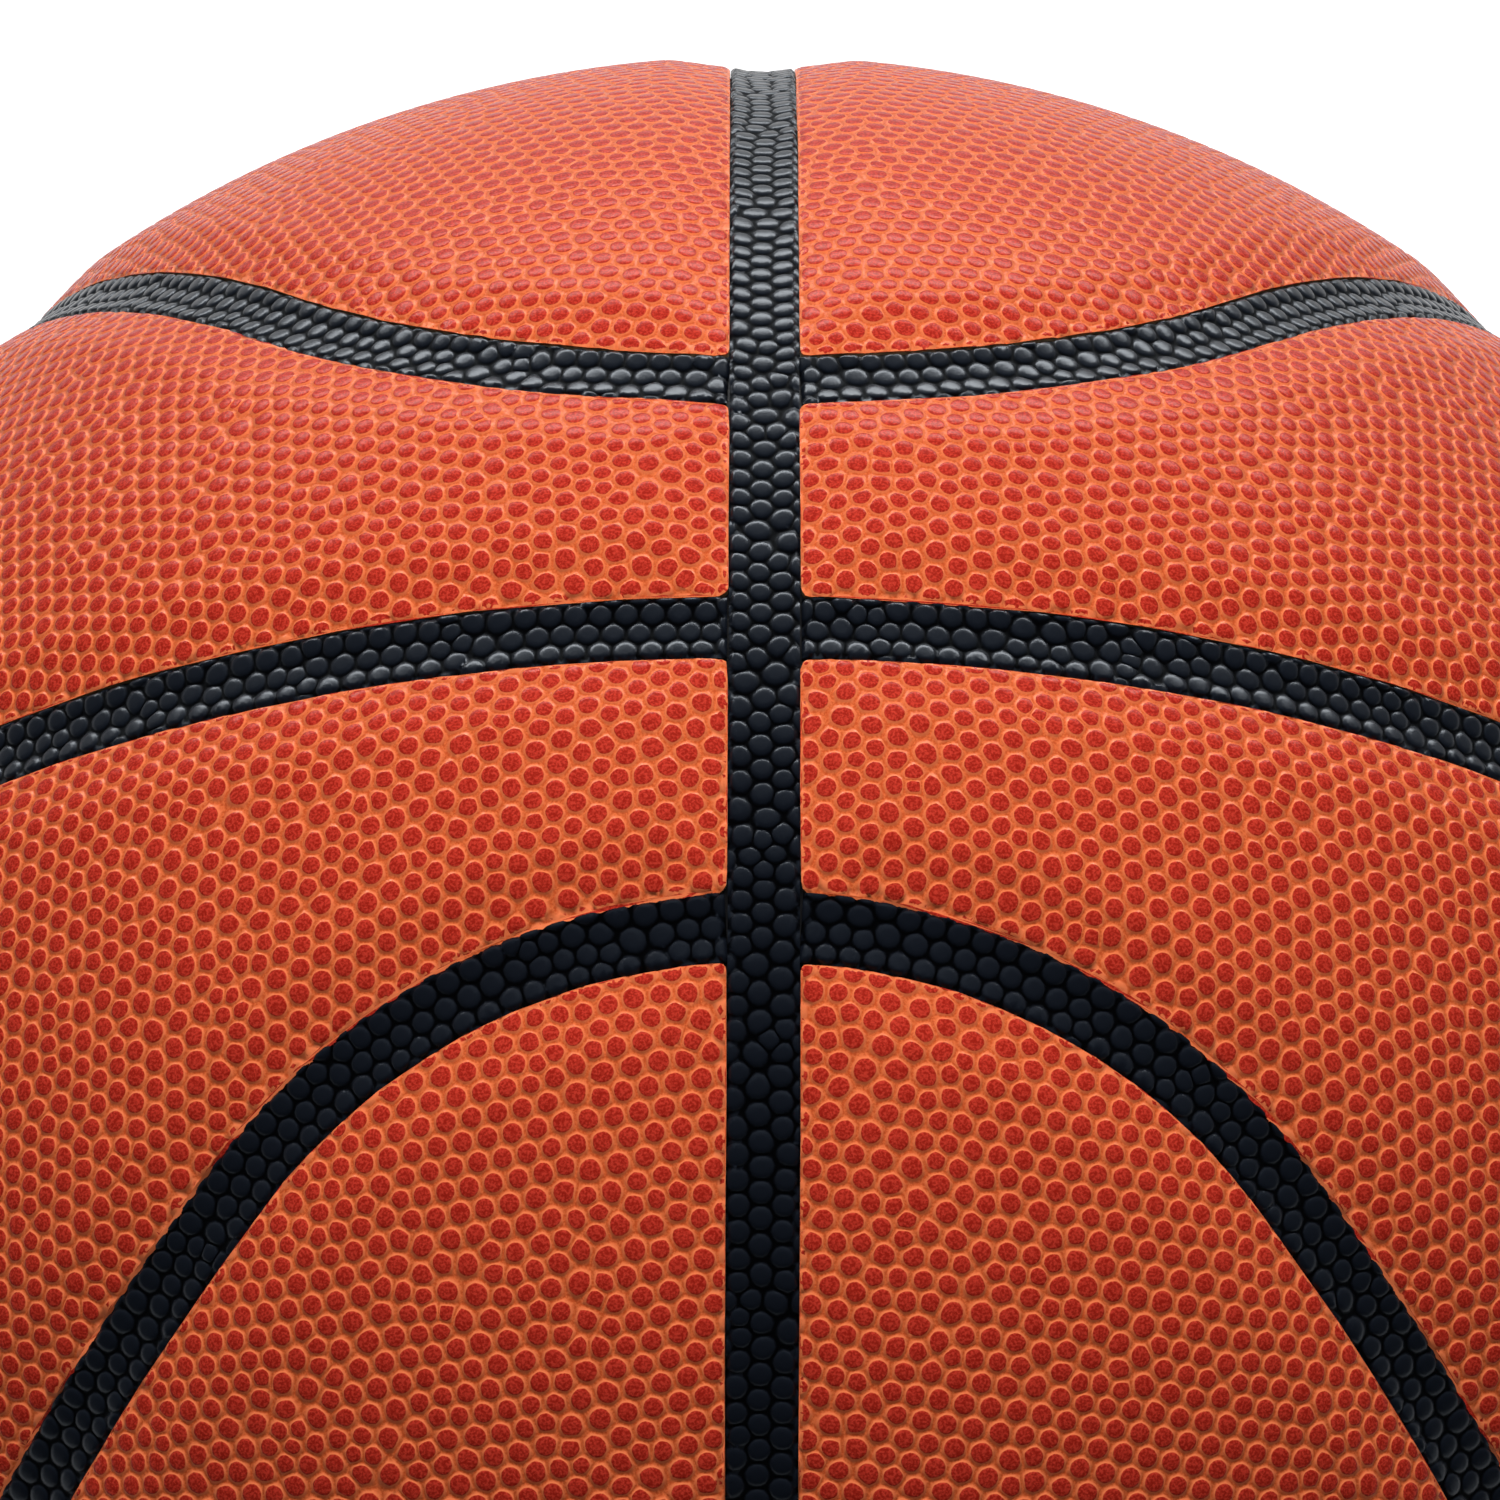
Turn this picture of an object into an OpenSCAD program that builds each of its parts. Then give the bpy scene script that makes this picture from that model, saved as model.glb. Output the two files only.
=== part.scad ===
// Basketball with eight cover panels, recessed channel strips, a rubber carcass,
// a thread winding, a bladder and a needle valve.
// The origin is the centre of the ball and +Z is up. The ring channel lies in the
// plane x = 0, the middle channel in the plane y = 0, and a curved channel loops
// round the front (-Y) and the back (+Y).

/* [Ball] */
// Diameter over the crowns of the panels
ball_d = 242; // [180:1:260]

/* [Cover] */
// Thickness of a panel under its crown, with its foam backing
cover_t = 2.2; // [1.9:0.1:3]
// Depth of a channel's floor below the crowns
channel_dip = 1.2; // [0.8:0.1:1.4]
// Width over which the two panels slope down into a channel
valley_w = 20; // [16:1:24]
// Width of a channel strip
strip_w = 6.6; // [5:0.2:8]
// Gap between a strip and the panels' cut edges
edge_gap = 0.15; // [0.05:0.05:0.3]
// Cement line between two layers
glue_t = 0.05; // [0.02:0.01:0.1]

/* [Seams] */
// Angle at the centre between the middle channel and a curved one, along the ring
waist_angle = 14.2; // [11:0.2:17]
// Angle at the centre from a tight bend's middle to its channel
bend_angle = 29.2; // [26:0.2:33]

/* [Inside] */
// Thickness of the rubber carcass
carcass_t = 1; // [0.6:0.1:2]
// Thickness of the wound thread layer
winding_t = 0.5; // [0.3:0.1:1]
// Thickness of the bladder's wall
bladder_t = 0.8; // [0.5:0.1:1.5]

/* [Valve] */
// Turn of the valve from +X towards +Y
valve_turn = 22.5; // [18:0.5:27]
// Diameter of the valve's neck, which fills the hole in the cover
neck_d = 9; // [8:0.5:12]
// Depth of the neck's outer end below the crowns
neck_recess = 0.5; // [0.2:0.1:1]
// Diameter of the valve's flange inside the bladder
flange_d = 24; // [18:1:30]
// Thickness of the flange
flange_t = 1.2; // [0.8:0.1:2]
// Length of the barrel from the flange towards the centre
barrel_len = 12; // [10:1:20]
// Diameter of the plug that seals the valve
plug_d = 5; // [4:0.2:6]
// Diameter of the hole that takes the inflating needle
needle_d = 2.1; // [1.8:0.1:2.6]
// Depth of the needle hole
needle_depth = 11; // [6:0.5:13]
// Thickness of the lip that stops the plug
lip_t = 1.5; // [1:0.1:3]
// Diameter of the air hole through the lip
air_d = 3; // [2:0.1:3.4]

/* [Hidden] */
$fn = 160;
ball_r = ball_d / 2;
floor_r = ball_r - channel_dip;
cover_in = ball_r - cover_t;
carcass_out = cover_in - glue_t;
carcass_in = carcass_out - carcass_t;
winding_out = carcass_in - glue_t;
winding_in = winding_out - winding_t;
bladder_out = winding_in - glue_t;
bladder_in = bladder_out - bladder_t;
flange_out = bladder_in - glue_t;
flange_in = flange_out - flange_t;
barrel_end = flange_in - barrel_len;
neck_end = ball_r - neck_recess;
// How far a cutting shape runs past what it cuts
over = 1;

// Valley of a channel: a round trough through its floor and its two shoulders
shoulder = asin(valley_w / 2 / ball_r);
rise = ball_r * cos(shoulder) - floor_r;
trough_r = (rise * rise + valley_w * valley_w / 4) / (2 * rise);

// A curved channel is four arcs. Each tight bend is a circle round a point on the
// ring, and each side is part of a great circle that runs on from it with no kink.
bend_tilt = waist_angle + bend_angle;
side_tilt = acos(sin(bend_angle) / sin(bend_tilt));
bend_span = acos(tan(bend_angle) / tan(bend_tilt));
side_span = asin(cos(bend_tilt) / cos(bend_angle));

// Flat steps along a tight bend and along a long side, and across a valley
bend_steps = 12;
side_steps = 28;
valley_shares = [1, 0.62, 0.25, -0.25, -0.62, -1];

panel_colour = "#c8482c";
strip_colour = "#1b2026";

// Half section of a hollow ball, for turning about Z
module shell_section(outer, inner) {
    intersection() {
        difference() {
            circle(r = outer);
            circle(r = inner);
        }
        translate([0, -outer]) square([outer, 2 * outer]);
    }
}

module layer(outer, inner, hole_d) {
    difference() {
        rotate_extrude() shell_section(outer, inner);
        along_valve(inner - over, outer + over) circle(d = hole_d);
    }
}

// Extrudes a flat shape along the valve's axis, from one radius to another
module along_valve(from_r, to_r) {
    rotate([0, 0, valve_turn]) rotate([0, 90, 0])
        translate([0, 0, from_r]) linear_extrude(to_r - from_r) children();
}

// Band of a given width from one radius to another, for a channel's cross-section
module band(from_r, to_r, width) {
    translate([from_r, -width / 2]) square([to_r - from_r, width]);
}

module trough() {
    translate([floor_r + trough_r, 0]) circle(r = trough_r);
}

module valley_section() {
    intersection() {
        trough();
        band(cover_in, ball_r + over, 2 * valley_w);
    }
}

module strip_section() {
    difference() {
        band(cover_in, ball_r, strip_w);
        trough();
    }
}

// Sweeps a section along the ring channel, all round
module along_ring() {
    rotate([0, 90, 0]) rotate_extrude() children();
}

// Sweeps a section along the middle channel, all round
module along_middle() {
    rotate([90, 0, 0]) rotate_extrude() children();
}

// Outward and sideways directions at a point of the back loop's right half.
// The arc turns about pole, starts at polar angle from it, and u runs along it.
function arc_frame(pole, level, radius, u) =
    let (
        across = cross(pole, level),
        spoke = cos(u) * level + sin(u) * across,
        out = cos(radius) * pole + sin(radius) * spoke,
        side = cos(radius) * spoke - sin(radius) * pole
    ) [out, side];

bend_pole = [0, sin(bend_tilt), cos(bend_tilt)];
bend_level = [0, -cos(bend_tilt), sin(bend_tilt)];
side_pole = [-sin(side_tilt), cos(side_tilt), 0];
side_level = [cos(side_tilt), sin(side_tilt), 0];

function flip_z(frame) = [for (v = frame) [v.x, v.y, -v.z]];
top_bend = [
    for (i = [-1 : bend_steps - 1])
        arc_frame(bend_pole, bend_level, bend_angle, bend_span * i / bend_steps)
];
long_side = [
    for (i = [0 : side_steps])
        arc_frame(side_pole, side_level, 90, side_span * (2 * i / side_steps - 1))
];
loop_frames = concat(
    top_bend,
    long_side,
    [for (i = [bend_steps : -1 : 0]) flip_z(top_bend[i])]
);

// Sweeps a convex section, a list of [radius, sideways] points, along the loop
module along_loop(section) {
    n = len(section);
    last = len(loop_frames) - 1;
    polyhedron(
        points = [for (f = loop_frames) for (p = section) p[0] * f[0] + p[1] * f[1]],
        faces = concat(
            [[for (j = [0 : n - 1]) j]],
            [[for (j = [n - 1 : -1 : 0]) last * n + j]],
            [for (i = [0 : last - 1]) for (j = [0 : n - 1])
                [i * n + j, (i + 1) * n + j, i * n + (j + 1) % n]],
            [for (i = [0 : last - 1]) for (j = [0 : n - 1])
                [(i + 1) * n + j, (i + 1) * n + (j + 1) % n, i * n + (j + 1) % n]]
        )
    );
}

// Height of the trough's surface at a distance from the channel's middle
function trough_at(y) = floor_r + trough_r - sqrt(trough_r * trough_r - y * y);

// What the loop's channel takes out of the cover: the strip's slot and the valley
module loop_channel() {
    half = strip_w / 2 + edge_gap;
    valley_end = valley_w / 2 + over;
    along_loop([
        [cover_in - over, -half], [ball_r + over, -half],
        [ball_r + over, half], [cover_in - over, half]
    ]);
    along_loop(concat(
        [[ball_r + over, -valley_end], [ball_r + over, valley_end]],
        [for (share = valley_shares) [trough_at(share * valley_end), share * valley_end]]
    ));
}

module quarter_cover() {
    difference() {
        intersection() {
            rotate_extrude() shell_section(ball_r, cover_in);
            translate([strip_w / 2 + edge_gap, strip_w / 2 + edge_gap, -ball_r])
                cube([ball_r, ball_r, ball_d]);
        }
        along_ring() valley_section();
        along_middle() valley_section();
        loop_channel();
    }
}

// The space inside the right half of the back loop, bounded within its channel
module loop_core() {
    core_half = ball_r * sin(side_span) - strip_w / 2;
    intersection() {
        union() {
            for (side = [0, 1]) mirror([0, 0, side])
                rotate([-bend_tilt, 0, 0])
                    cylinder(h = ball_d, r1 = 0, r2 = ball_d * tan(bend_angle));
            translate([-over, -over, -core_half])
                cube([ball_d, ball_d, 2 * core_half]);
        }
        rotate([0, 0, side_tilt])
            translate([-ball_d, 0, -ball_d]) cube(2 * ball_d);
    }
}

// A panel or strip is drawn at the back right and mirrored into its own place
module place(left, front) {
    mirror([left, 0, 0]) mirror([0, front, 0]) children();
}

module end_panel() {
    color(panel_colour) intersection() {
        quarter_cover();
        loop_core();
    }
}

module waist_panel() {
    color(panel_colour) difference() {
        quarter_cover();
        loop_core();
    }
}

module back_right_waist_panel() {
    color(panel_colour) difference() {
        waist_panel();
        along_valve(cover_in - over, ball_r + over) circle(d = neck_d + 2 * edge_gap);
    }
}

module ring_strip() {
    color(strip_colour) along_ring() strip_section();
}

// Keeps what lies right of the ring strip, with the gap between them
module beside_ring() {
    intersection() {
        children();
        translate([strip_w / 2 + edge_gap, -ball_r, -ball_r]) cube([ball_r, ball_d, ball_d]);
    }
}

module middle_strip() {
    color(strip_colour) beside_ring() along_middle() strip_section();
}

module loop_strip() {
    half = strip_w / 2;
    color(strip_colour) beside_ring() along_loop([
        [cover_in, -half], [trough_at(half), -half], [floor_r, 0],
        [trough_at(half), half], [cover_in, half]
    ]);
}

module bladder() {
    color("#3a3a3c") layer(bladder_out, bladder_in, neck_d + 2 * glue_t);
}

module winding() {
    color("#e6e0d0") layer(winding_out, winding_in, neck_d + 2 * glue_t);
}

module carcass() {
    color("#26262a") layer(carcass_out, carcass_in, neck_d + 2 * glue_t);
}

module valve_housing() {
    color("#17181a") difference() {
        union() {
            along_valve(barrel_end, neck_end) circle(d = neck_d);
            intersection() {
                rotate_extrude() shell_section(flange_out, flange_in);
                along_valve(barrel_end, neck_end) circle(d = flange_d);
            }
        }
        along_valve(barrel_end + lip_t, neck_end + over) circle(d = plug_d + 2 * glue_t);
        along_valve(barrel_end - over, neck_end) circle(d = air_d);
    }
}

module valve_plug() {
    color("#0e0f10") difference() {
        along_valve(barrel_end + lip_t, neck_end) circle(d = plug_d);
        along_valve(neck_end - needle_depth, neck_end + over) circle(d = needle_d);
    }
}

bladder();
winding();
carcass();
valve_housing();
valve_plug();
ring_strip();
place(1, 0) middle_strip();  // left_middle_strip
place(0, 0) middle_strip();  // right_middle_strip
place(1, 1) loop_strip();  // front_left_strip
place(0, 1) loop_strip();  // front_right_strip
place(1, 0) loop_strip();  // back_left_strip
place(0, 0) loop_strip();  // back_right_strip
place(1, 1) end_panel();  // front_left_end_panel
place(0, 1) end_panel();  // front_right_end_panel
place(1, 0) end_panel();  // back_left_end_panel
place(0, 0) end_panel();  // back_right_end_panel
place(1, 1) waist_panel();  // front_left_waist_panel
place(0, 1) waist_panel();  // front_right_waist_panel
place(1, 0) waist_panel();  // back_left_waist_panel
back_right_waist_panel();
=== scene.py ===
import math
from math import radians

import bpy
import numpy as np
from mathutils import Matrix, Vector
from mathutils.geometry import delaunay_2d_cdt
from mathutils.kdtree import KDTree


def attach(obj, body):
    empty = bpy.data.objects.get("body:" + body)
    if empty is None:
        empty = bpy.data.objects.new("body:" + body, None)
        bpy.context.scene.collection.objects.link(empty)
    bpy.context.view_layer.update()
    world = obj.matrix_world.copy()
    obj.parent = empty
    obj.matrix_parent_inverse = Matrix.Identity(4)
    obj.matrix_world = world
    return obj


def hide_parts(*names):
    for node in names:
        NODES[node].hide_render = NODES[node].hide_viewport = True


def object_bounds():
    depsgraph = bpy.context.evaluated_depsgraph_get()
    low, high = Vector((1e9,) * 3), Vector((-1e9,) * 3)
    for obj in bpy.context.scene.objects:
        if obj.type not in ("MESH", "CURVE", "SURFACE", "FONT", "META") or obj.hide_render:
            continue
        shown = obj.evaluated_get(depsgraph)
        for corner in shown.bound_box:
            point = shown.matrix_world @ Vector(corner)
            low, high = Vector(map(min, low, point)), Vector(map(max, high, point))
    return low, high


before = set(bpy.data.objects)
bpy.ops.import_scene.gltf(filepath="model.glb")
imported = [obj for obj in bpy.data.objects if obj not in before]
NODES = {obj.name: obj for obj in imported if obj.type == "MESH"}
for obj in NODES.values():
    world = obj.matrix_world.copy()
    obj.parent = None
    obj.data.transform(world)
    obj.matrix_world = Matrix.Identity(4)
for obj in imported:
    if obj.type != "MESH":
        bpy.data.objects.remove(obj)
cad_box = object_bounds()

# Lengths below are in millimetres and angles in degrees, unless a line says otherwise
MM = 0.001


def node_points(name):
    """The corner points of a CAD node, in millimetres."""
    mesh = NODES[name].data
    points = np.empty(len(mesh.vertices) * 3)
    mesh.vertices.foreach_get("co", points)
    return points.reshape(-1, 3) / MM


def node_radii(name):
    """The least and the greatest distance of a CAD node from the ball's centre."""
    reach = np.linalg.norm(node_points(name), axis=1)
    return reach.min(), reach.max()


# The ball, as the CAD has it
COVER_IN, CROWN_R = node_radii("back_right_end_panel")
STRIP_IN, FLOOR_R = node_radii("ring_strip")
STRIP_HALF = node_points("ring_strip")[:, 0].max()
EDGE_X = node_points("back_right_end_panel")[:, 0].min()
EDGE_Y = node_points("back_right_waist_panel")[:, 1].min()
JOINT_X = node_points("right_middle_strip")[:, 0].min()

# Where the curved channels run: a bend round a pole near the top, then a long side
WAIST_ANGLE = 14.2
BEND_ANGLE = 29.2
# How far a panel's spine is turned from +X towards +Y
SPINE_TURN = {"end": 67.5, "waist": 22.5}
# How finely the channels' lines and the panels' outlines are drawn
LINE_STEP = 0.5
OUTLINE_POINTS = 800
MIDDLE_POINTS = 700
RING_POINTS = 1400

# The puffed panels roll down into valleys that are wider than the strips
VALLEY_HALF = 10.2
VALLEY_DIP = 1.31
VALLEY_POWER = 1.5
# Where valleys cross, a higher value keeps their corners crisper
VALLEY_BLEND = 4

# The panels' cut edges: rolled down, rounded at the corners and slightly ragged
CUT_ROLL = 0.22
CUT_ROLL_W = 0.7
CORNER_R = 0.7
CORNER_WINDOW = 3
CUT_STEP = 0.4
CUT_ROUGHNESS = 0.05

# Pebbles of the embossed skin. A ring of points round a pebble is given as its share of the way to the
# valley, the height there (0 valley, 1 top), the slope of the skin and the number of points.
PITCH = 2.35
RISE = 0.18
PANEL_RINGS = ((0.60, 1.0, 0.14, 9), (0.87, 0.5, 0.75, 9))
STRIP_RINGS = ((0.45, 1.0, 0.1, 12), (0.76, 0.8, 0.4, 12), (0.93, 0.3, 1.0, 12))
VALLEY_SLOPE = 0.1
PANEL_SHARPNESS = 6
STRIP_SHARPNESS = 4
CORNER_HEIGHT = -0.15
UNDER_HEIGHT = -6.0
SAMPLE = 0.05
# No point of a pebble lies nearer to a cut edge
PANEL_MARGIN = 0.22
STRIP_MARGIN = 0.18

# The pebbles' field, in shares of the pitch: its border, how far centres are shaken, how far apart two can
# be and how far a pebble reaches
BORDER_SHARE = 3
SHAKE_SHARE = 0.2
APART_SHARE = 1.5
REACH_SHARE = 0.62
# How often the centres are evened out, and how far they move to the middle of their neighbours
EVENING_ROUNDS = 4
EVENED_SHARE = 0.65
SIZES = (0.95, 1.02)
# What keeps the sums clear of zero, how many ways the cut is sampled in, and when two points are one
LEAST_FACING = 1e-3
SAMPLED_TURNS = 24
MERGED = 1e-7

# The underside: the spacing of its points and how far they stay from the cut
UNDER_GRID = 6
UNDER_INSET = 2

# The map for the bake: how a panel's is folded, the space between its parts, and how wide the walls and the
# underside are on it
PANEL_TILES = (2, 2)
MAP_GAP = 2
WALL_SHOWN = 1.5
UNDER_SHOWN = 0.1

# The strips sag between their edges, and their cut edges are rolled down
STRIP_CUP = 0.5
STRIP_ROLL = 0.45
STRIP_ROLL_W = 0.6
STRIP_RISE = 0.26

# The skin stays this much inside the CAD's crown
CLEARANCE = 0.01

# Seeds of the random draws, which count on for each kind of piece
SEEDS = {"waist": 0, "end": 1, "strip": 100, "middle": 200, "ring": 300}
QUARTER_SEEDS = 10

# Valve: turned from +X towards +Y, in a hole of its panel
VALVE_PANEL = "back_right_waist_panel"
VALVE_TURN = 22.5
HOLE_R = 4.65
HOLE_POINTS = 60
# Faces whose middle lies within this share of the hole's radius are left out
HOLE_SHARE = 0.97
NECK_R = 4.5
NECK_ROUND = 0.5
PLUG_R = 2.5
PLUG_GLUE = 0.05
PLUG_ROUND = 0.25
LIP_T = 1.5
AIR_R = 1.5
FLANGE_R = 12
FLANGE_MIDDLE_R = 8
FLANGE_T = 1.2
FLANGE_ROUND = 0.3
NEEDLE_R = 1.05
NEEDLE_DEPTH = 11
# The funnel that leads the needle in: its mouth, the edge below it, and how much it widens for its depth
FUNNEL_R = 1.45
FUNNEL_EDGE = 0.1
FUNNEL_DEPTH = 0.6
FUNNEL_WIDENING = 0.5
TURNED_SIDES = 96
ROUND_POINTS = 5
TURNED_MERGE = 0.002
SMOOTH_ANGLE = 35

# Real sizes of the materials' patterns, with how deep the grain is
LEATHER_GRAIN = 0.24
CHANNEL_GRAIN = 0.3
GRAIN_DEPTH = 0.04
# The red print ends at a ragged line: its share of the way to the valley, how ragged it is, how wide it fades
PRINT_EDGE = 0.76
PRINT_RAGGED = 0.06
PRINT_FADE = 0.07
# Heights between which the print starts, between which the orange skin's pebble sides get a painted highlight
# and the black skin's ground loses its painted shade, and where the bare cut begins
PRINT_HEIGHTS = (0.55, 0.65)
PAINTED_LIGHT_HEIGHTS = (0.1, 0.5)
CUT_HEIGHTS = (-0.4, -0.9)
# Moulded rubber: how deep its grain is, how much darker its shade, and how wide its dusty patches
MOULD_DEPTH = 0.03
SHADE_SHARE = 0.6
DUST_PATCH = 12
# Wound thread, whose layers lie turned by these radians
THREAD_TURNS = (0.3, 1.4, 2.3)
THREAD_PITCH = 0.5
THREAD_DEPTH = 0.1
THREAD_PATCH = 9
# How far apart the bands of a wave texture of scale 1 are
WAVE_PITCH = 0.314

# Studio: the floor's size is in metres, and a strength of 1 is white
FLOOR_SIZE = 8
FLOOR_GLOW = 0.62
AMBIENT = 0.06
# Strength of the mirrored backdrop beside the ball, and how many times stronger it is behind the ball
MIRRORED = 0.13
MIRRORED_RISE = 10.0

# The camera, fitted to the seams and the outline in the photo, whose side and places are in pixels
FRAME_PX = 1500
FOCAL_PX = 8073
BALL_PX = (757.4, 1220.5)
DISTANCE_IN_RADII = 6.97
TILT, YAW, ROLL = 30.345, -0.166, 0.232
SENSOR = 36.0

Z_AXIS = np.array([0.0, 0.0, 1.0])


def unit(v):
    """Vectors made one long."""
    return v / np.linalg.norm(v, axis=-1, keepdims=True)


# The curved channel of the back right quarter, from the same construction as the CAD
bend_tilt = radians(WAIST_ANGLE + BEND_ANGLE)
bend_angle = radians(BEND_ANGLE)
side_tilt = math.acos(math.sin(bend_angle) / math.sin(bend_tilt))
bend_span = math.acos(math.tan(bend_angle) / math.tan(bend_tilt))
side_span = math.asin(math.cos(bend_tilt) / math.cos(bend_angle))
BEND_POLE = np.array([0, math.sin(bend_tilt), math.cos(bend_tilt)])
BEND_LEVEL = np.array([0, -math.cos(bend_tilt), math.sin(bend_tilt)])
SIDE_POLE = np.array([-math.sin(side_tilt), math.cos(side_tilt), 0])
SIDE_LEVEL = np.array([math.cos(side_tilt), math.sin(side_tilt), 0])


def arc(pole, level, reach, turn):
    """Points at the angle reach from a pole, turned from its level direction, and the way across the arc."""
    turn = np.atleast_1d(turn)[:, None]
    spoke = np.cos(turn) * level + np.sin(turn) * np.cross(pole, level)
    return math.cos(reach) * pole + math.sin(reach) * spoke, math.cos(reach) * spoke - math.sin(reach) * pole


def loop_curve(shift, from_x):
    """The curved channel's line, moved sideways by shift, from x = from_x at the top down to the same x."""
    reach = bend_angle + shift / CROWN_R
    start = math.asin(from_x / CROWN_R / math.sin(reach))
    step = LINE_STEP / CROWN_R
    bend, bend_side = arc(BEND_POLE, BEND_LEVEL, reach, np.arange(start, bend_span, step / math.sin(reach)))
    side_reach = math.pi / 2 + shift / CROWN_R
    side, side_side = arc(SIDE_POLE, SIDE_LEVEL, side_reach, np.arange(-side_span, side_span, step))
    mirror = np.array([1, 1, -1])
    line = np.concatenate([bend, side, (bend * mirror)[::-1]])
    across = np.concatenate([bend_side, side_side, (bend_side * mirror)[::-1]])
    return line, across


def loop_offset(p):
    """Distance from the curved channel's line along the ball, above zero on the waist's side."""
    q = p * np.array([1, 1, 0]) + np.abs(p) * Z_AXIS
    junction = arc(BEND_POLE, BEND_LEVEL, bend_angle, bend_span)[0][0]
    parting = np.cross(BEND_POLE, junction)
    at_bend = q @ parting * (BEND_LEVEL @ parting) > 0
    bend = np.arccos(np.clip(q @ BEND_POLE, -1, 1)) - bend_angle
    side = np.arccos(np.clip(q @ SIDE_POLE, -1, 1)) - math.pi / 2
    return np.where(at_bend, bend, side) * CROWN_R


def ring_offset(p):
    """Distance from the ring channel's line along the ball."""
    return np.arcsin(np.clip(p[:, 0], -1, 1)) * CROWN_R


def middle_offset(p):
    """Distance from the middle channel's line along the ball."""
    return np.arcsin(np.clip(p[:, 1], -1, 1)) * CROWN_R


def rounded_min(a, b, radius):
    """The smaller of two distances, with the corner between them rounded."""
    inner = radius - np.hypot(np.maximum(radius - a, 0), np.maximum(radius - b, 0))
    return np.where((a < radius) & (b < radius), inner, np.minimum(a, b))


class Panel:
    """The plane that a panel of the back right quarter is laid out in: u along its spine, v across it."""

    def __init__(self, kind):
        self.kind = kind
        turn = radians(SPINE_TURN[kind])
        self.spine = np.array([math.cos(turn), math.sin(turn), 0])
        self.side = np.array([-math.sin(turn), math.cos(turn), 0])

    def on_ball(self, uv):
        """Directions from the ball's centre to points of the plane."""
        lon, lat = (uv / CROWN_R).T[:, :, None]
        return np.cos(lat) * (np.cos(lon) * self.spine + np.sin(lon) * Z_AXIS) + np.sin(lat) * self.side

    def on_plane(self, p):
        """Points of the plane for directions from the ball's centre."""
        lon = np.arctan2(p @ Z_AXIS, p @ self.spine)
        return np.stack([lon, np.arcsin(p @ self.side)], axis=1) * CROWN_R

    def inset(self, p):
        """Distance from the panel's cut edge, above zero inside."""
        ring = ring_offset(p) - EDGE_X
        loop = loop_offset(p)
        if self.kind == "end":
            return rounded_min(ring, -loop - EDGE_X, CORNER_R)
        return rounded_min(rounded_min(ring, loop - EDGE_X, CORNER_R), middle_offset(p) - EDGE_Y, CORNER_R)

    def outline(self):
        """The cut edge as points on the ball, once round."""
        half_turn = np.linspace(0, math.pi, OUTLINE_POINTS)
        near, far = EDGE_X / CROWN_R, math.sqrt(1 - (EDGE_X / CROWN_R) ** 2)
        ring = np.stack([0 * half_turn + near, far * np.sin(half_turn), far * np.cos(half_turn)], axis=1)
        if self.kind == "end":
            loop = loop_curve(-EDGE_X, EDGE_X)[0]
            return np.concatenate([ring[ring[:, 1] > loop[0, 1]], loop[::-1]])
        loop = loop_curve(EDGE_X, EDGE_X)[0]
        middle = ring[:, [1, 0, 2]]
        ends = ring[(ring[:, 1] > near) & (ring[:, 1] < loop[0, 1])]
        return np.concatenate(
            [middle[middle[:, 0] > near], ends[ends[:, 2] < 0][::-1], loop[::-1], ends[ends[:, 2] > 0][::-1]]
        )


def surface_radius(p, inset):
    """The puffed skin: a sphere that rolls down into the valleys, and at the cut edge."""
    depth = sum(
        (VALLEY_DIP * np.clip(1 - (offset / VALLEY_HALF) ** 2, 0, 1) ** VALLEY_POWER) ** VALLEY_BLEND
        for offset in (ring_offset(p), middle_offset(p), loop_offset(p))
    ) ** (1 / VALLEY_BLEND)
    return CROWN_R - CLEARANCE - depth - CUT_ROLL * np.clip(1 - inset / CUT_ROLL_W, 0, 1) ** 2


def triangulate(points, loops=(), lines=(), inside=False):
    """A planar triangulation of points that keeps closed loops and lines of them as edges."""
    edges = [(loop[i - 1], loop[i]) for loop in loops for i in range(len(loop))]
    edges += [tuple(line) for line in lines]
    faces = [list(loops[0])] if inside else []
    result = delaunay_2d_cdt([Vector(p) for p in points], edges, faces, 1 if inside else 0, MERGED, True)
    order = np.array([ids[0] for ids in result[3]])
    return order, np.array(result[1]), np.array(result[2])


def scattered_centres(low, high, rng):
    """Pebble centres: a hexagonal lattice, shaken and then evened out, as an embossing roll's are."""
    border = BORDER_SHARE * PITCH
    rows = np.arange(low[1] - border, high[1] + border, PITCH * math.sqrt(3) / 2)
    columns = np.arange(low[0] - border, high[0] + border, PITCH)
    u, v = np.meshgrid(columns, rows)
    u = u + PITCH / 2 * (np.arange(len(rows)) % 2)[:, None]
    points = np.stack([u.ravel(), v.ravel()], axis=1)
    points += rng.normal(0, SHAKE_SHARE * PITCH, points.shape)
    for _ in range(EVENING_ROUNDS):
        order, edges, _faces = triangulate(points)
        points = points[order]
        total, count = np.zeros_like(points), np.zeros(len(points))
        for a, b in ((0, 1), (1, 0)):
            np.add.at(total, edges[:, a], points[edges[:, b]])
            np.add.at(count, edges[:, a], 1)
        points = points * (1 - EVENED_SHARE) + total / count[:, None] * EVENED_SHARE
    return points


def circle_centres(a, b, c):
    """Centres of the circles through three points each."""
    ab, ac = b - a, c - a
    cross = 2 * (ab[:, 0] * ac[:, 1] - ab[:, 1] * ac[:, 0])[:, None]
    square_ab, square_ac = np.sum(ab**2, axis=1), np.sum(ac**2, axis=1)
    x = ac[:, 1] * square_ab - ab[:, 1] * square_ac
    y = ab[:, 0] * square_ac - ac[:, 0] * square_ab
    return a + np.stack([x, y], axis=1) / cross


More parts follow.
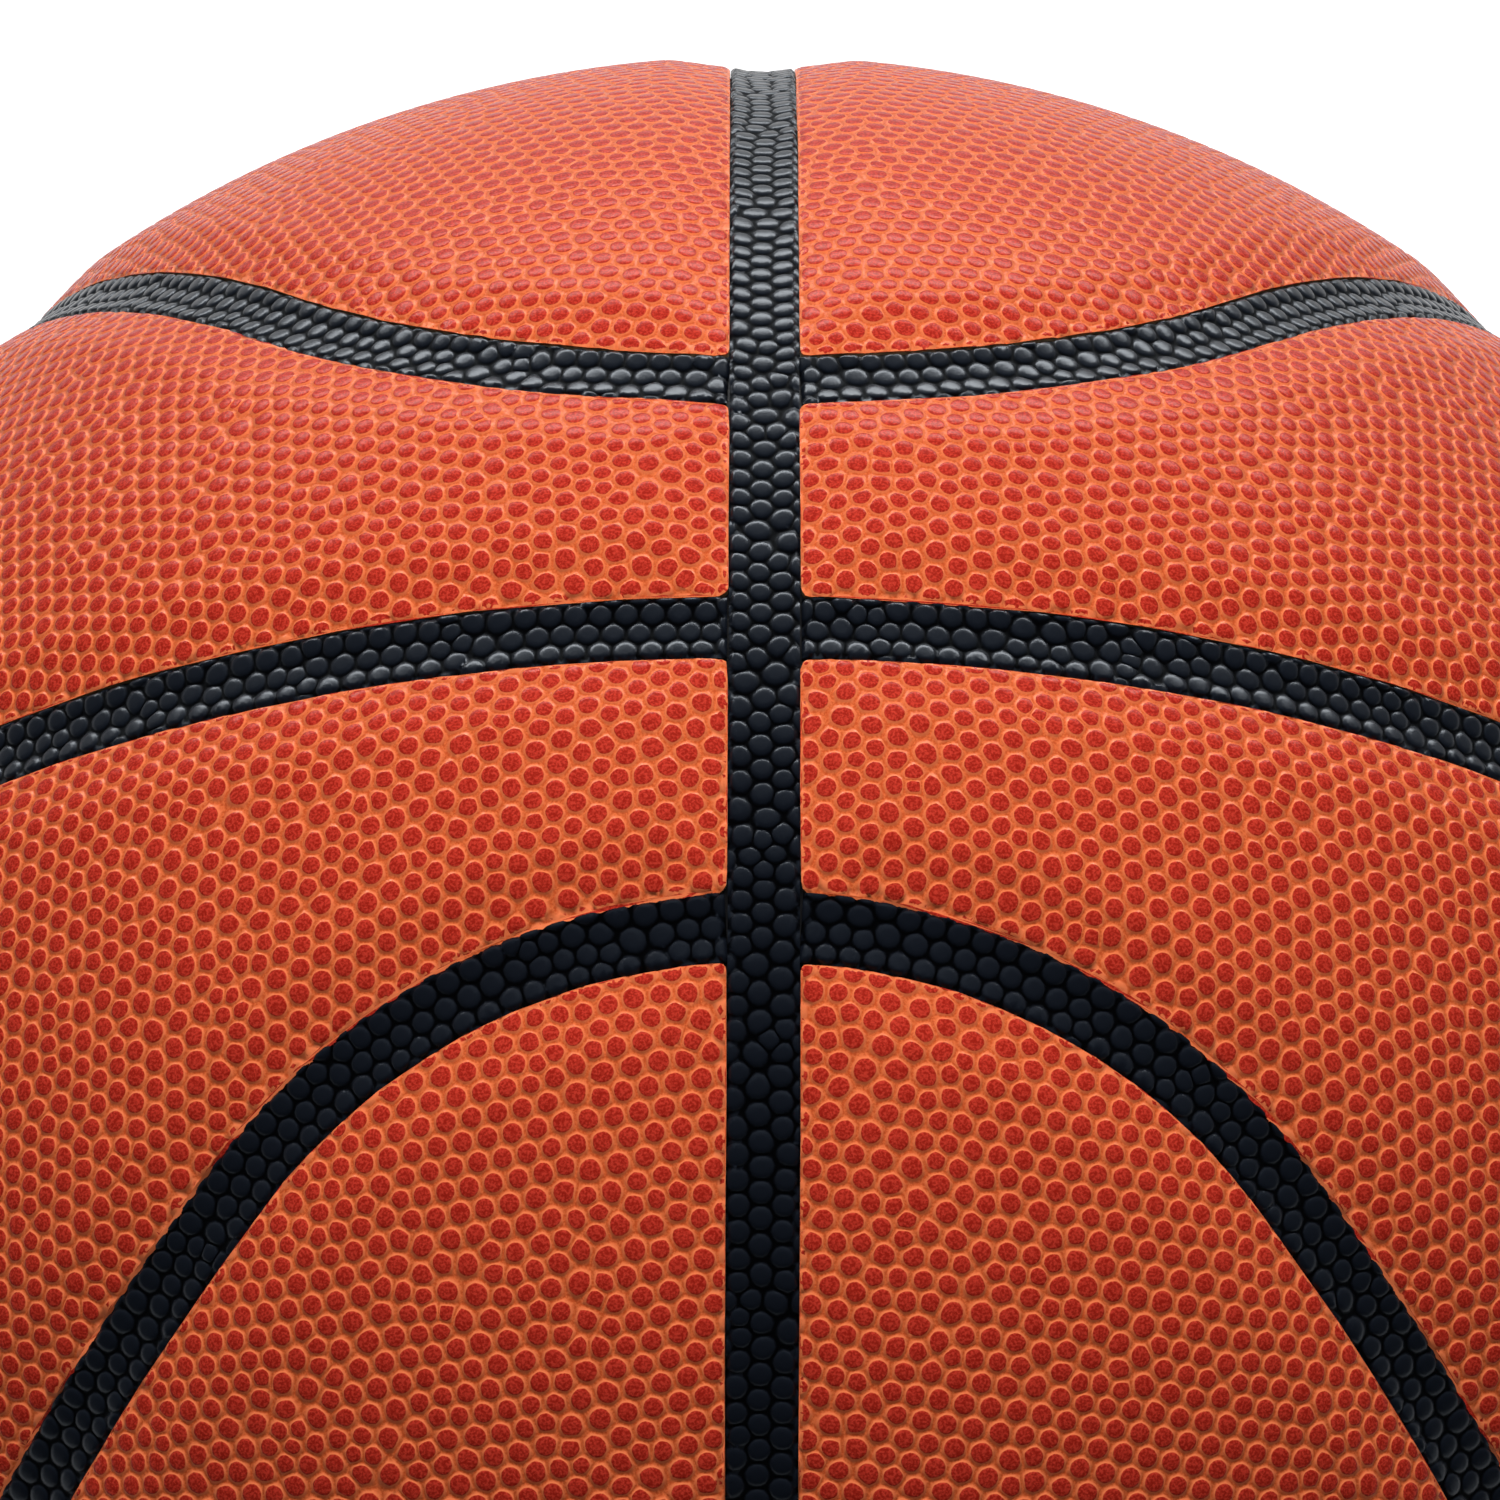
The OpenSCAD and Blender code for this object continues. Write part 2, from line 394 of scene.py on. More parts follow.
class Pebbles:
    """A field of pebbles in a plane: rounded polygons that leave an even valley between them."""

    def __init__(self, low, high, inset, sharpness, rng):
        self.sharpness = sharpness
        points = scattered_centres(low, high, rng)
        order, edges, faces = triangulate(points)
        points = points[order]
        # Valleys meet at the circles' centres, except at the field's border, where the circles are too wide
        self.corners = circle_centres(*(points[faces[:, k]] for k in range(3)))
        self.real = np.linalg.norm(self.corners - points[faces].mean(axis=1), axis=1) < PITCH
        sides = np.sort(np.concatenate([faces[:, [0, 1]], faces[:, [1, 2]], faces[:, [2, 0]]]), axis=1)
        owner = np.tile(np.arange(len(faces)), 3)
        by_side = np.lexsort(sides.T)
        twice = (sides[by_side][1:] == sides[by_side][:-1]).all(axis=1)
        self.valleys = np.stack([owner[by_side][:-1][twice], owner[by_side][1:][twice]], axis=1)
        self.centres = points
        self.edges = np.concatenate([edges, edges[:, ::-1]])
        self.size = rng.uniform(*SIZES, len(points))
        self.first = rng.uniform(0, 2 * math.pi, len(points))
        self.near = inset(points) > -PITCH / 2

    def reach(self, turn):
        """How far each pebble reaches at angles, one row of them for each pebble."""
        a, b = self.edges.T
        step = self.centres[b] - self.centres[a]
        half = np.minimum(np.linalg.norm(step, axis=1), APART_SHARE * PITCH)[:, None] / 2
        facing = np.cos(turn[a] - np.arctan2(step[:, 1], step[:, 0])[:, None])
        total = np.zeros_like(turn)
        np.add.at(total, a, (np.maximum(facing, 0) / half) ** self.sharpness)
        reach = np.clip(total, LEAST_FACING, None) ** (-1 / self.sharpness)
        return np.minimum(reach, REACH_SHARE * PITCH) * self.size[:, None]

    def ring(self, share, sides):
        """Points round every near pebble, and their directions from its centre."""
        turn = self.first[:, None] + np.linspace(0, 2 * math.pi, sides, endpoint=False)
        spokes = np.stack([np.cos(turn), np.sin(turn)], axis=2)[self.near]
        points = self.centres[self.near][:, None] + spokes * (self.reach(turn)[self.near] * share)[:, :, None]
        return points.reshape(-1, 2), spokes.reshape(-1, 2)

    def sampled(self, points):
        """Shares of the way to the valley, and directions from the nearest centre, at any points."""
        tree = KDTree(len(self.centres))
        for i, centre in enumerate(self.centres):
            tree.insert((*centre, 0), i)
        tree.balance()
        nearest = np.array([tree.find((*p, 0))[1] for p in points])
        away = points - self.centres[nearest]
        turn = np.linspace(0, 2 * math.pi, SAMPLED_TURNS, endpoint=False)
        spoke = np.cos(turn - np.arctan2(away[:, 1], away[:, 0])[:, None]).argmax(axis=1)
        reach = self.reach(np.tile(turn, (len(self.centres), 1)))[nearest, spoke]
        return np.linalg.norm(away, axis=1) / reach, unit(away)


def evenly_spaced(points, step):
    """A closed line with its points the same way apart."""
    closed = np.concatenate([points, points[:1]])
    along = np.concatenate([[0], np.cumsum(np.linalg.norm(np.diff(closed, axis=0), axis=1))])
    places = np.linspace(0, along[-1], int(along[-1] / step), endpoint=False)
    return np.stack([np.interp(places, along, closed[:, k]) for k in range(points.shape[1])], axis=1)


def rounded_corners(points, window):
    """A closed line with its corners taken off by a running mean."""
    return sum(np.roll(points, k, axis=0) for k in range(-window // 2 + 1, window // 2 + 1)) / window


def signed_area(points):
    """The area inside a closed line, above zero where it runs anticlockwise."""
    after = np.roll(points, -1, axis=0)
    return np.sum(points[:, 0] * after[:, 1] - after[:, 0] * points[:, 1]) / 2


def outward(points):
    """Directions square to a closed line, away from its inside."""
    along = unit(np.roll(points, -1, axis=0) - np.roll(points, 1, axis=0))
    normal = np.stack([along[:, 1], -along[:, 0]], axis=1)
    return normal if signed_area(points) > 0 else -normal


def pebble_points(cut, pebbles, inset, margin, rings):
    """Points of the flat pattern: on the cut line, in rings round the pebbles and where valleys meet.

    For each it gives its place, its way from the pebble's centre, its height and the lean of the skin, and
    then the valley lines as pairs of points.
    """
    shares = (0,) + tuple(ring[0] for ring in rings) + (1.0,)
    profile = (1.0,) + tuple(ring[1] for ring in rings) + (0.0,)
    slopes = (0.0,) + tuple(ring[2] for ring in rings) + (VALLEY_SLOPE,)
    cut_share, cut_way = pebbles.sampled(cut)
    # The cut's ways are a full one long, so no print reaches the edge
    flat, away = [cut], [cut_way]
    heights = [np.interp(cut_share, shares, profile)]
    lean = [cut_way * np.interp(cut_share, shares, slopes)[:, None]]
    for share, height, slope, sides in rings:
        points, way = pebbles.ring(share, sides)
        inside = inset(points) > margin
        flat.append(points[inside])
        away.append(way[inside] * share)
        heights.append(np.full(inside.sum(), height))
        lean.append(way[inside] * slope)
    start = sum(len(part) for part in flat)
    inside = (inset(pebbles.corners) > margin) & pebbles.real
    corners = pebbles.corners[inside]
    flat.append(corners)
    away.append(0 * corners)
    heights.append(np.full(len(corners), CORNER_HEIGHT))
    lean.append(0 * corners)
    number_of = np.cumsum(inside) - 1 + start
    lines = number_of[pebbles.valleys[inside[pebbles.valleys].all(axis=1)]]
    return *(np.concatenate(part) for part in (flat, away, heights, lean)), lines


def sheet(points, cuts, loops, lines=()):
    """Faces of the pattern between its cut lines, all turned the same way round."""
    order, _edges, faces = triangulate(points, loops, lines, inside=True)
    faces = order[faces]
    a, b, c = (points[faces[:, k]] for k in range(3))
    ab, ac = b - a, c - a
    clockwise = ab[:, 0] * ac[:, 1] < ab[:, 1] * ac[:, 0]
    faces[clockwise] = faces[clockwise][:, ::-1]
    for hole in cuts[1:]:
        centre = hole.mean(axis=0)
        radius = np.linalg.norm(hole - centre, axis=1).min()
        away = np.linalg.norm(points[faces].mean(axis=1) - centre, axis=1)
        faces = faces[away > HOLE_SHARE * radius]
    return faces


def cut_walls(cuts, loops, shift):
    """Faces from the top's cut lines to the underside's, whose points come shift later, and their rims."""
    walls = []
    for loop, line in zip(loops, cuts):
        a = np.array(loop)
        b = np.roll(a, -1)
        if (signed_area(line) > 0) == (line is cuts[0]):
            a, b = b, a
        walls.append(np.stack([a, b, b + shift], axis=1))
        walls.append(np.stack([a, b + shift, a + shift], axis=1))
    walls = np.concatenate(walls)
    rims = np.concatenate([walls[:, [0, 1]], walls[:, [1, 2]]])
    return walls, rims[(rims < shift).all(axis=1) | (rims >= shift).all(axis=1)]


def folded_map(at, under, columns, rows):
    """Places on the map for the bake: the pattern folded into tiles, with the underside squeezed."""
    low, high = at.min(axis=(0, 1)), at.max(axis=(0, 1))
    length, height = (high[0] - low[0]) / (columns * rows), high[1] - low[1]
    tile = ((at.mean(axis=1)[:, 0] - low[0]) / length).astype(int)
    tile = np.clip(tile, 0, columns * rows - 1)[:, None]
    x = at[:, :, 0] - low[0] - tile * length
    y = at[:, :, 1] - low[1]
    y[under] = height * (1 + UNDER_SHOWN) + MAP_GAP - y[under] * UNDER_SHOWN
    wide, tall = length + 4 * MAP_GAP, height * (1 + UNDER_SHOWN) + 2 * MAP_GAP
    x = x + tile % columns * wide + 2 * MAP_GAP
    y = y + tile // columns * tall + MAP_GAP / 2
    return np.stack([x, y], axis=2) / max(columns * wide, rows * tall)


def embossed_object(name, vertices, faces, rims, corner_normals, map_at, height_of, away_of):
    """An object with its own normals, sharp rims, a map for the bake and what its material reads."""
    used = np.zeros(len(vertices), bool)
    used[faces.ravel()] = True
    number_of = np.cumsum(used) - 1
    vertices, faces, rims = vertices[used], number_of[faces], number_of[rims]
    a, b, c = (vertices[faces[:, k]] for k in range(3))
    if np.sum(a * np.cross(b, c)) < 0:
        faces = faces[:, ::-1]
        corner_normals = corner_normals.reshape(-1, 3, 3)[:, ::-1].reshape(-1, 3)
        map_at = map_at[:, ::-1]
    mesh = bpy.data.meshes.new(name)
    mesh.from_pydata(vertices.tolist(), [], faces.tolist())
    height = mesh.attributes.new("pebble_height", "FLOAT", "POINT")
    height.data.foreach_set("value", height_of[used])
    away = mesh.attributes.new("pebble_away", "FLOAT_VECTOR", "POINT")
    away.data.foreach_set("vector", away_of[used].ravel())
    edges = np.empty(len(mesh.edges) * 2, dtype=int)
    mesh.edges.foreach_get("vertices", edges)
    pairs = (edges.reshape(-1, 2), rims)
    edge_keys, rim_keys = (np.sort(pair, axis=1) @ [len(vertices), 1] for pair in pairs)
    sharp = mesh.attributes.new("sharp_edge", "BOOLEAN", "EDGE")
    sharp.data.foreach_set("value", np.isin(edge_keys, rim_keys))
    mesh.uv_layers.new(name="OFBake").uv.foreach_set("vector", map_at.ravel())
    mesh.shade_smooth()
    mesh.normals_split_custom_set(corner_normals)
    piece = bpy.data.objects.new(name, mesh)
    bpy.context.scene.collection.objects.link(piece)
    return piece


def skin_piece(name, to_ball, radius_at, inner_r, cuts, pebbles, inset, margin, rings, tiles, flip):
    """A closed piece of embossed sheet: pebbled top, cut walls and a plain underside.

    It is laid out flat. There to_ball gives a point's direction from the ball's centre and radius_at its
    distance, and flip mirrors the piece from the back right quarter into its own.
    """
    cut = np.concatenate(cuts)
    starts = np.cumsum([0] + [len(line) for line in cuts])
    loops = [list(range(start, end)) for start, end in zip(starts, starts[1:])]
    flat, away, heights, lean, lines = pebble_points(cut, pebbles, inset, margin, rings)
    top = sheet(flat, cuts, loops, lines)
    low, high = cut.min(axis=0), cut.max(axis=0)
    grid = np.meshgrid(*(np.arange(low[k], high[k], UNDER_GRID) for k in (0, 1)))
    grid = np.stack(grid, axis=2).reshape(-1, 2)
    under_flat = np.concatenate([cut, grid[inset(grid) > UNDER_INSET]])
    under = sheet(under_flat, cuts, loops)[:, ::-1] + len(flat)
    walls, rims = cut_walls(cuts, loops, len(flat))

    # The pattern on the ball, with the normals of the rounded skin
    def on_skin(points):
        directions = to_ball(points)
        return directions * radius_at(points, directions, heights)[:, None]

    skin = on_skin(flat)
    along, across = (
        (on_skin(flat + SAMPLE * step) - on_skin(flat - SAMPLE * step)) / (2 * SAMPLE)
        for step in (np.array([1, 0]), np.array([0, 1]))
    )
    normal = unit(np.cross(along, across))
    normal *= np.sign(np.sum(normal * skin, axis=1, keepdims=True))
    skin_normal = unit(normal + lean[:, :1] * along + lean[:, 1:] * across)
    at_cut = slice(len(cut))
    out_of_cut = np.concatenate([outward(line) * (1 if line is cuts[0] else -1) for line in cuts])
    wall_normal = out_of_cut[:, :1] * along[at_cut] + out_of_cut[:, 1:] * across[at_cut]
    upright = unit(skin[at_cut])
    wall_normal = unit(wall_normal - upright * np.sum(wall_normal * upright, axis=1, keepdims=True))
    vertices = np.concatenate([skin, to_ball(under_flat) * inner_r])
    wall_of = np.zeros_like(vertices)
    wall_of[at_cut] = wall_of[len(flat) : len(flat) + len(cut)] = wall_normal
    corner_normals = np.concatenate([skin_normal[top], -unit(vertices[under]), wall_of[walls]])

    # The pattern on the baked image, where the walls are laid out beside the cut
    wall_foot = under_flat.copy()
    wall_foot[at_cut] += out_of_cut * WALL_SHOWN
    sheet_at, wall_at = np.concatenate([flat, under_flat]), np.concatenate([flat, wall_foot])
    flat_at = np.concatenate([sheet_at[top], sheet_at[under], wall_at[walls]])
    is_under = np.repeat([False, True, False], [len(top), len(under), len(walls)])
    map_at = folded_map(flat_at, is_under, *tiles)

    height_of = np.concatenate([heights, np.full(len(under_flat), UNDER_HEIGHT)])
    away_of = np.zeros_like(vertices)
    away_of[: len(flat), :2] = away
    faces = np.concatenate([top, under, walls])
    corner_normals = corner_normals.reshape(-1, 3) * flip
    return embossed_object(
        name, vertices * MM * flip, faces, rims, corner_normals, map_at, height_of, away_of
    )


def finished(piece, material, slot, *nodes):
    """Gives a piece its material and its body, in place of the CAD nodes that it stands for; slot is not
    used.
    """
    piece.data.materials.clear()
    piece.data.materials.append(material)
    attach(piece, "root")
    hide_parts(*nodes)
    return piece


def panel_piece(name, kind, flip, seed, material):
    """The skin of a cover panel, with the valve's hole in the one that has it."""
    rng = np.random.default_rng(seed)
    panel = Panel(kind)
    cut = rounded_corners(evenly_spaced(panel.on_plane(panel.outline()), CUT_STEP), CORNER_WINDOW)
    cut += outward(cut) * rng.normal(0, CUT_ROUGHNESS, (len(cut), 1))
    cuts = [cut]
    if name == VALVE_PANEL:
        around = np.linspace(0, 2 * math.pi, HOLE_POINTS, endpoint=False)
        cuts.append(np.stack([np.cos(around), np.sin(around)], axis=1) * HOLE_R)

    def inset(uv):
        distance = panel.inset(panel.on_ball(uv))
        if len(cuts) > 1:
            distance = np.minimum(distance, np.linalg.norm(uv, axis=1) - HOLE_R)
        return distance

    def radius_at(uv, p, heights):
        return surface_radius(p, inset(uv)) + (heights - 1) * RISE

    pebbles = Pebbles(cut.min(axis=0), cut.max(axis=0), inset, PANEL_SHARPNESS, rng)
    piece = skin_piece(
        name + "_skin", panel.on_ball, radius_at, COVER_IN, cuts,
        pebbles, inset, PANEL_MARGIN, PANEL_RINGS, PANEL_TILES, flip,
    )
    return finished(piece, material, "cover_composite", name)


def strip_piece(name, line, across, flip, seed, material):
    """A pebbled strip along a line of directions from the ball's centre."""
    rng = np.random.default_rng(seed)
    along = np.concatenate([[0], np.cumsum(np.linalg.norm(np.diff(line, axis=0), axis=1))]) * CROWN_R
    length = along[-1]
    # So many rows that the strip, folded on the baked image, fills a square
    rows = round(math.sqrt(length / (4 * STRIP_HALF)))

    def to_ball(uv):
        p = unit(np.stack([np.interp(uv[:, 0], along, line[:, k]) for k in range(3)], axis=1))
        side = np.stack([np.interp(uv[:, 0], along, across[:, k]) for k in range(3)], axis=1)
        side = unit(side - p * np.sum(side * p, axis=1, keepdims=True))
        turn = uv[:, 1:] / CROWN_R
        return np.cos(turn) * p + np.sin(turn) * side

    s = np.arange(0, length, CUT_STEP)
    t = np.arange(-STRIP_HALF, STRIP_HALF, CUT_STEP)
    cut = np.concatenate(
        [
            np.stack([s, 0 * s - STRIP_HALF], axis=1),
            np.stack([0 * t + length, t], axis=1),
            np.stack([length - s, 0 * s + STRIP_HALF], axis=1),
            np.stack([0 * t, -t], axis=1),
        ]
    )

    def inset(uv):
        ends = np.minimum(uv[:, 0], length - uv[:, 0])
        return np.minimum(ends, STRIP_HALF - np.abs(uv[:, 1]))

    def radius_at(uv, p, heights):
        tilt = STRIP_CUP * (uv[:, 1] / STRIP_HALF) ** 2
        roll = STRIP_ROLL * np.clip(1 - inset(uv) / STRIP_ROLL_W, 0, 1) ** 2
        return FLOOR_R - STRIP_CUP + tilt - roll + (heights - 1) * STRIP_RISE

    low, high = np.array([0, -STRIP_HALF]), np.array([length, STRIP_HALF])
    pebbles = Pebbles(low, high, inset, STRIP_SHARPNESS, rng)
    piece = skin_piece(
        name + "_skin", to_ball, radius_at, STRIP_IN, [cut],
        pebbles, inset, STRIP_MARGIN, STRIP_RINGS, (1, rows), flip,
    )
    return finished(piece, material, "channel_composite", name)


def linear(code):
    """An sRGB hex colour as linear red, green, blue and alpha."""
    parts = [int(code[i : i + 2], 16) / 255 for i in (1, 3, 5)]
    return [c / 12.92 if c <= 0.04045 else ((c + 0.055) / 1.055) ** 2.4 for c in parts] + [1.0]


def add(tree, kind, inputs=None, **settings):
    """Adds a node with its settings, and sets or links its inputs.

    A Mix node of colours has its factor at input 0, the two colours at 6 and 7, and their mix at output 2.
    """
    node = tree.nodes.new(kind)
    for name, value in settings.items():
        setattr(node, name, value)
    for name, value in (inputs or {}).items():
        if isinstance(value, bpy.types.NodeSocket):
            tree.links.new(value, node.inputs[name])
        else:
            node.inputs[name].default_value = value
    return node


def new_material(name):
    """A material with nothing but its shader and output."""
    material = bpy.data.materials.new(name)
    material.use_nodes = True
    tree = material.node_tree
    tree.nodes.clear()
    shader = add(tree, "ShaderNodeBsdfPrincipled")
    add(tree, "ShaderNodeOutputMaterial", {"Surface": shader.outputs["BSDF"]})
    return material, tree, shader


def pebbled_leather():
    """Composite leather: polyurethane skin, embossed in pebbles whose tops are printed a darker red.

    To the eye: matt red dots on a lighter orange net, a fine grain over both, a soft sheen where light grazes
    it, the pebbles' sides painted a paler orange as a painted highlight round each, and a thin pale line of
    bare backing at the cut.
    """
    material, tree, shader = new_material("pebbled_composite_leather")
    where = add(tree, "ShaderNodeTexCoord").outputs["Object"]
    fine = {"Vector": where, "Scale": 1 / (LEATHER_GRAIN * MM), "Detail": 2.0}
    grain = add(tree, "ShaderNodeTexNoise", fine).outputs["Fac"]
    speckle = add(tree, "ShaderNodeMapRange", {"Value": grain, "From Min": 0.4, "From Max": 0.62}).outputs[0]
    height = add(tree, "ShaderNodeAttribute", attribute_name="pebble_height").outputs["Fac"]
    away = add(tree, "ShaderNodeAttribute", attribute_name="pebble_away").outputs["Vector"]

    # The print covers the high part of a pebble, out to a ragged line
    share = add(tree, "ShaderNodeVectorMath", {0: away}, operation="LENGTH").outputs["Value"]
    ragged = add(tree, "ShaderNodeMath", {0: grain, 1: PRINT_RAGGED, 2: share}, operation="MULTIPLY_ADD")
    fade = {"From Min": PRINT_EDGE, "From Max": PRINT_EDGE + PRINT_FADE, "To Min": 1.0, "To Max": 0.0}
    near = add(tree, "ShaderNodeMapRange", {"Value": ragged.outputs[0], **fade}).outputs[0]
    print_from = {"Value": height, "From Min": PRINT_HEIGHTS[0], "From Max": PRINT_HEIGHTS[1]}
    high = add(tree, "ShaderNodeMapRange", print_from).outputs[0]
    top = add(tree, "ShaderNodeMath", {0: near, 1: high}, operation="MULTIPLY").outputs[0]
    painted_light_from = {"Value": height, "From Min": PAINTED_LIGHT_HEIGHTS[0], "From Max": PAINTED_LIGHT_HEIGHTS[1]}
    painted_light_rise = add(tree, "ShaderNodeMapRange", painted_light_from).outputs[0]
    cut_from = {"Value": height, "From Min": CUT_HEIGHTS[0], "From Max": CUT_HEIGHTS[1]}
    cut = add(tree, "ShaderNodeMapRange", cut_from).outputs[0]

    reds = {0: speckle, 6: linear("#aa2418"), 7: linear("#d6402f")}
    red = add(tree, "ShaderNodeMix", reds, data_type="RGBA").outputs[2]
    oranges = {0: speckle, 6: linear("#d5592c"), 7: linear("#ed7643")}
    valley = add(tree, "ShaderNodeMix", oranges, data_type="RGBA").outputs[2]
    # The pebbles' sides get a paler orange all round: a painted highlight on their rims
    net_and_painted_rims = add(tree, "ShaderNodeMix", {0: painted_light_rise, 6: valley, 7: linear("#f68150")}, data_type="RGBA").outputs[2]
    skin = add(tree, "ShaderNodeMix", {0: top, 6: net_and_painted_rims, 7: red}, data_type="RGBA").outputs[2]
    cover = add(tree, "ShaderNodeMix", {0: cut, 6: skin, 7: linear("#d9b48c")}, data_type="RGBA").outputs[2]
    tree.links.new(cover, shader.inputs["Base Color"])
    shader.inputs["Roughness"].default_value = 0.26
    shader.inputs["Specular IOR Level"].default_value = 0.06
    shader.inputs["Specular Tint"].default_value = (1, 0.8, 0.55, 1)
    bump = add(tree, "ShaderNodeBump", {"Height": grain, "Strength": 0.5, "Distance": GRAIN_DEPTH * MM})
    tree.links.new(bump.outputs[0], shader.inputs["Normal"])
    return material


def channel_leather():
    """The same composite leather, dyed black and not printed.

    To the eye: domed pebbles with a satin light on each, over a matt ground painted near black as shade in
    the grooves.
    """
    material, tree, shader = new_material("black_pebbled_composite")
    where = add(tree, "ShaderNodeTexCoord").outputs["Object"]
    fine = {"Vector": where, "Scale": 1 / (CHANNEL_GRAIN * MM), "Detail": 2.0}
    grain = add(tree, "ShaderNodeTexNoise", fine).outputs["Fac"]
    height = add(tree, "ShaderNodeAttribute", attribute_name="pebble_height").outputs["Fac"]
    painted_light_from = {"Value": height, "From Min": PAINTED_LIGHT_HEIGHTS[0], "From Max": PAINTED_LIGHT_HEIGHTS[1]}
    painted_light_rise = add(tree, "ShaderNodeMapRange", painted_light_from).outputs[0]
    # The ground between the pebbles is painted near black: painted shade in the grooves
    blacks_and_painted_shade = {0: painted_light_rise, 6: linear("#020203"), 7: linear("#13171f")}
    black_with_painted_ground_shade = add(tree, "ShaderNodeMix", blacks_and_painted_shade, data_type="RGBA").outputs[2]
    tree.links.new(black_with_painted_ground_shade, shader.inputs["Base Color"])
    matt = add(tree, "ShaderNodeMapRange", {"Value": painted_light_rise, "To Min": 0.95, "To Max": 0.3})
    tree.links.new(matt.outputs[0], shader.inputs["Roughness"])
    shader.inputs["Specular IOR Level"].default_value = 0.2
    shader.inputs["Specular Tint"].default_value = (0.75, 0.88, 1, 1)
    bump = add(tree, "ShaderNodeBump", {"Height": grain, "Strength": 0.25, "Distance": GRAIN_DEPTH * MM})
    tree.links.new(bump.outputs[0], shader.inputs["Normal"])
    return material


def plain_rubber(name, colour, roughness, grain_size):
    """Moulded rubber. To the eye: near black and dull, with the mould's fine grain in shade and gloss."""
    material, tree, shader = new_material(name)
    where = add(tree, "ShaderNodeTexCoord").outputs["Object"]
    fine = {"Vector": where, "Scale": 1 / (grain_size * MM), "Detail": 2.0}
    grain = add(tree, "ShaderNodeTexNoise", fine).outputs["Fac"]
    wide = {"Vector": where, "Scale": 1 / (DUST_PATCH * MM), "Detail": 3.0}
    dust = add(tree, "ShaderNodeTexNoise", wide).outputs["Fac"]
    pale, deep = linear(colour), [c * SHADE_SHARE for c in linear(colour)[:3]] + [1.0]
    shade = add(tree, "ShaderNodeMix", {0: grain, 6: deep, 7: pale}, data_type="RGBA").outputs[2]
    dusty = add(tree, "ShaderNodeMix", {0: dust, 6: shade, 7: pale}, data_type="RGBA").outputs[2]
    tree.links.new(dusty, shader.inputs["Base Color"])
    shader.inputs["Roughness"].default_value = roughness
    bump = add(tree, "ShaderNodeBump", {"Height": grain, "Strength": 0.3, "Distance": MOULD_DEPTH * MM})
    tree.links.new(bump.outputs[0], shader.inputs["Normal"])
    return material


def wound_thread():
    """Nylon thread, wound on. To the eye: off-white turns that cross, with dark lines of painted shade
    between them.
    """
    material, tree, shader = new_material("wound_nylon_thread")
    where = add(tree, "ShaderNodeTexCoord").outputs["Object"]
    layers = []
    for turn in THREAD_TURNS:
        lie = {"Vector": where, "Rotation": (turn, 2 * turn, turn)}
        turned = add(tree, "ShaderNodeMapping", lie).outputs[0]
        scale = WAVE_PITCH / (THREAD_PITCH * MM)
        waves = {"Vector": turned, "Scale": scale, "Distortion": 0.6, "Detail": 1.0}
        layers.append(add(tree, "ShaderNodeTexWave", waves).outputs["Fac"])
    wide = {"Vector": where, "Scale": 1 / (THREAD_PATCH * MM)}
    patch = add(tree, "ShaderNodeTexNoise", wide).outputs["Fac"]
    first = add(tree, "ShaderNodeMapRange", {"Value": patch, "From Min": 0.42, "From Max": 0.44}).outputs[0]
    second = add(tree, "ShaderNodeMapRange", {"Value": patch, "From Min": 0.54, "From Max": 0.56}).outputs[0]
    under = add(tree, "ShaderNodeMix", {0: first, 6: layers[0], 7: layers[1]}, data_type="RGBA").outputs[2]
    turns = add(tree, "ShaderNodeMix", {0: second, 6: under, 7: layers[2]}, data_type="RGBA").outputs[2]
    # Where the turns' bump runs low, between them, the colour darkens: painted shade in the grooves
    thread_and_painted_groove_shade = {0: turns, 6: linear("#8f8672"), 7: linear("#dcd3bf")}
    thread_with_painted_shade = add(tree, "ShaderNodeMix", thread_and_painted_groove_shade, data_type="RGBA").outputs[2]
    tree.links.new(thread_with_painted_shade, shader.inputs["Base Color"])
    shader.inputs["Roughness"].default_value = 0.7
    bump = add(tree, "ShaderNodeBump", {"Height": turns, "Strength": 0.6, "Distance": THREAD_DEPTH * MM})
    tree.links.new(bump.outputs[0], shader.inputs["Normal"])
    return material


def turned_piece(name, profile, open_ends, material, node):
    """A body of revolution about the valve's axis, from radii and levels along it."""
    bpy.ops.object.select_all(action="DESELECT")
    radius, level = profile[0]
    bpy.ops.mesh.primitive_circle_add(
        vertices=TURNED_SIDES, radius=radius * MM, fill_type="NOTHING" if open_ends else "NGON"
    )
    piece = bpy.context.object
    piece.name = piece.data.name = name
    bpy.ops.object.mode_set(mode="EDIT")
    bpy.ops.mesh.select_all(action="SELECT")
    bpy.ops.transform.translate(value=(0, 0, level * MM))
    for next_radius, next_level in profile[1:]:
        move = {"value": (0, 0, (next_level - level) * MM)}
        bpy.ops.mesh.extrude_region_move(TRANSFORM_OT_translate=move)
        bpy.ops.transform.resize(value=(next_radius / radius, next_radius / radius, 1))
        radius, level = next_radius, next_level
    bpy.ops.mesh.select_all(action="SELECT")
    bpy.ops.mesh.remove_doubles(threshold=TURNED_MERGE * MM)
    bpy.ops.mesh.normals_make_consistent(inside=False)
    bpy.ops.object.mode_set(mode="OBJECT")
    piece.rotation_euler = (0, math.pi / 2, radians(VALVE_TURN))
    bpy.ops.object.transform_apply(location=True, rotation=True, scale=True)
    bpy.ops.object.shade_smooth_by_angle(angle=radians(SMOOTH_ANGLE))
    return finished(piece, material, "valve_rubber", node)


